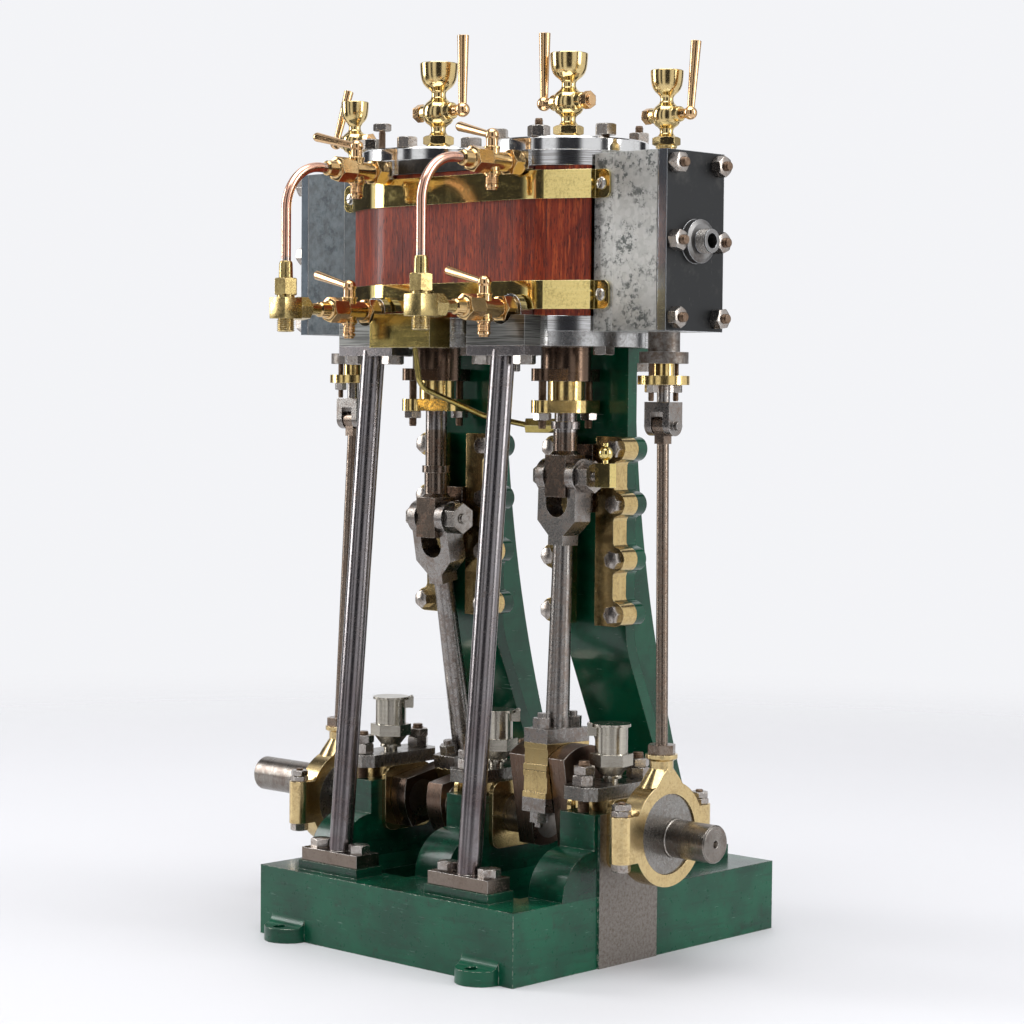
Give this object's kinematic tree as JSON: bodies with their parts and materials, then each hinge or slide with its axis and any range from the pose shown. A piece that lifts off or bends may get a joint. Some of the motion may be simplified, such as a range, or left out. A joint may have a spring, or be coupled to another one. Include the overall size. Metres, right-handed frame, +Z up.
{
  "type": "model marine steam engine",
  "caption": "Model vertical twin-cylinder marine steam engine on a green box bed, with open cranks, forked connecting rods, wood-lagged cylinders and brass drain cocks",
  "frame": {"origin": "on the underside of the bedplate, directly under the crankshaft axis, midway between the two cylinders", "axes": "+X along the crankshaft towards the shorter shaft end, -Y to the front with the two polished columns, +Z up"},
  "size_m": [0.2656, 0.1984, 0.3812],
  "materials": {
    "black_iron": "blackened iron",
    "brass": "polished brass, lightly tarnished",
    "bright_steel": "machined bright steel",
    "column_steel": "polished and darkened steel",
    "copper": "bright copper pipe",
    "green_paint": "glossy dark green enamel",
    "mottled_iron": "mottled bare iron",
    "nickel": "dull nickel plate",
    "steel": "machined steel with light rust",
    "wood": "varnished mahogany"
  },
  "bodies": {
    "engine": {"band_lower": "brass", "band_upper": "brass", "bearing_brasses": "brass", "bearing_caps": "steel", "bearing_studs": "steel", "bedplate": "green_paint", "big_end_brasses": "brass", "big_end_keeps": "steel", "bottom_covers": "black_iron", "chest_covers": "black_iron", "chest_nuts": "steel", "column_bolts": "steel", "column_left": "column_steel", "column_right": "column_steel", "connecting_rod_left": "steel", "connecting_rod_right": "steel", "copper_pipes": "copper", "cover_bolts": "steel", "crankshaft": "steel", "crosshead_left": "steel", "crosshead_oiler": "brass", "crosshead_right": "steel", "cylinder_covers": "bright_steel", "cylinder_left": "bright_steel", "cylinder_right": "bright_steel", "drain_cocks": "brass", "drip_box": "brass", "drip_pipe": "brass", "eccentric_rods": "steel", "eccentric_sheaves": "steel", "eccentric_straps": "brass", "gland_studs": "steel", "guide_bolts": "steel", "guide_keeps": "brass", "lagging": "wood", "lubricators": "brass", "oil_cups": "nickel", "pipe_blocks": "brass", "piston_glands": "brass", "standard_bolts": "steel", "standard_left": "green_paint", "standard_right": "green_paint", "strap_bolts": "steel", "top_fillers": "black_iron", "valve_chests": "mottled_iron", "valve_glands": "brass", "valve_rods": "steel", "wrist_pins": "steel"},
    "lid_left": {"oil_cup_lid_left": "nickel"},
    "lid_middle": {"oil_cup_lid_middle": "nickel"},
    "lid_right": {"oil_cup_lid_right": "nickel"},
    "cock_upper_left": {"cock_lever_upper_left": "brass"},
    "cock_upper_right": {"cock_lever_upper_right": "brass"},
    "cock_lower_left": {"cock_lever_lower_left": "brass"},
    "cock_lower_right": {"cock_lever_lower_right": "brass"},
    "lubricator_cylinder_left": {"lubricator_lever_cylinder_left": "brass"},
    "lubricator_cylinder_right": {"lubricator_lever_cylinder_right": "brass"},
    "lubricator_valve_left": {"lubricator_lever_valve_left": "brass"},
    "lubricator_valve_right": {"lubricator_lever_valve_right": "brass"}
  },
  "joints": [
    {"name": "lid_left_hinge", "type": "hinge", "parent": "engine", "child": "lid_left", "pos_m": [-0.05769, 0.00607, 0.0958], "axis": [-0.682, 0.7314, 0], "range_deg": [0, 105]},
    {"name": "lid_middle_hinge", "type": "hinge", "parent": "engine", "child": "lid_middle", "pos_m": [0.00651, 0.00607, 0.0958], "axis": [-0.682, 0.7314, 0], "range_deg": [0, 105]},
    {"name": "lid_right_hinge", "type": "hinge", "parent": "engine", "child": "lid_right", "pos_m": [0.05769, -0.00607, 0.0958], "axis": [0.682, -0.7314, 0], "range_deg": [0, 105]},
    {"name": "cock_upper_left_turn", "type": "hinge", "parent": "engine", "child": "cock_upper_left", "pos_m": [-0.0374, -0.048, 0.3215], "axis": [0, 0, 1], "range_deg": [0, 90]},
    {"name": "cock_upper_right_turn", "type": "hinge", "parent": "engine", "child": "cock_upper_right", "pos_m": [0.0402, -0.048, 0.3215], "axis": [0, 0, 1], "range_deg": [0, 90]},
    {"name": "cock_lower_left_turn", "type": "hinge", "parent": "engine", "child": "cock_lower_left", "pos_m": [-0.0374, -0.0518, 0.2635], "axis": [0, 0, 1], "range_deg": [0, 90]},
    {"name": "cock_lower_right_turn", "type": "hinge", "parent": "engine", "child": "cock_lower_right", "pos_m": [0.0402, -0.0518, 0.2635], "axis": [0, 0, 1], "range_deg": [0, 90]},
    {"name": "lubricator_cylinder_left_turn", "type": "hinge", "parent": "engine", "child": "lubricator_cylinder_left", "pos_m": [-0.0374, 0, 0.34985], "axis": [1, 0, 0], "range_deg": [0, 90]},
    {"name": "lubricator_cylinder_right_turn", "type": "hinge", "parent": "engine", "child": "lubricator_cylinder_right", "pos_m": [0.0374, 0, 0.349], "axis": [1, 0, 0], "range_deg": [0, 90]},
    {"name": "lubricator_valve_left_turn", "type": "hinge", "parent": "engine", "child": "lubricator_valve_left", "pos_m": [-0.0895, 0, 0.34013], "axis": [1, 0, 0], "range_deg": [0, 90]},
    {"name": "lubricator_valve_right_turn", "type": "hinge", "parent": "engine", "child": "lubricator_valve_right", "pos_m": [0.0895, 0, 0.34013], "axis": [1, 0, 0], "range_deg": [0, 90]}
  ]
}
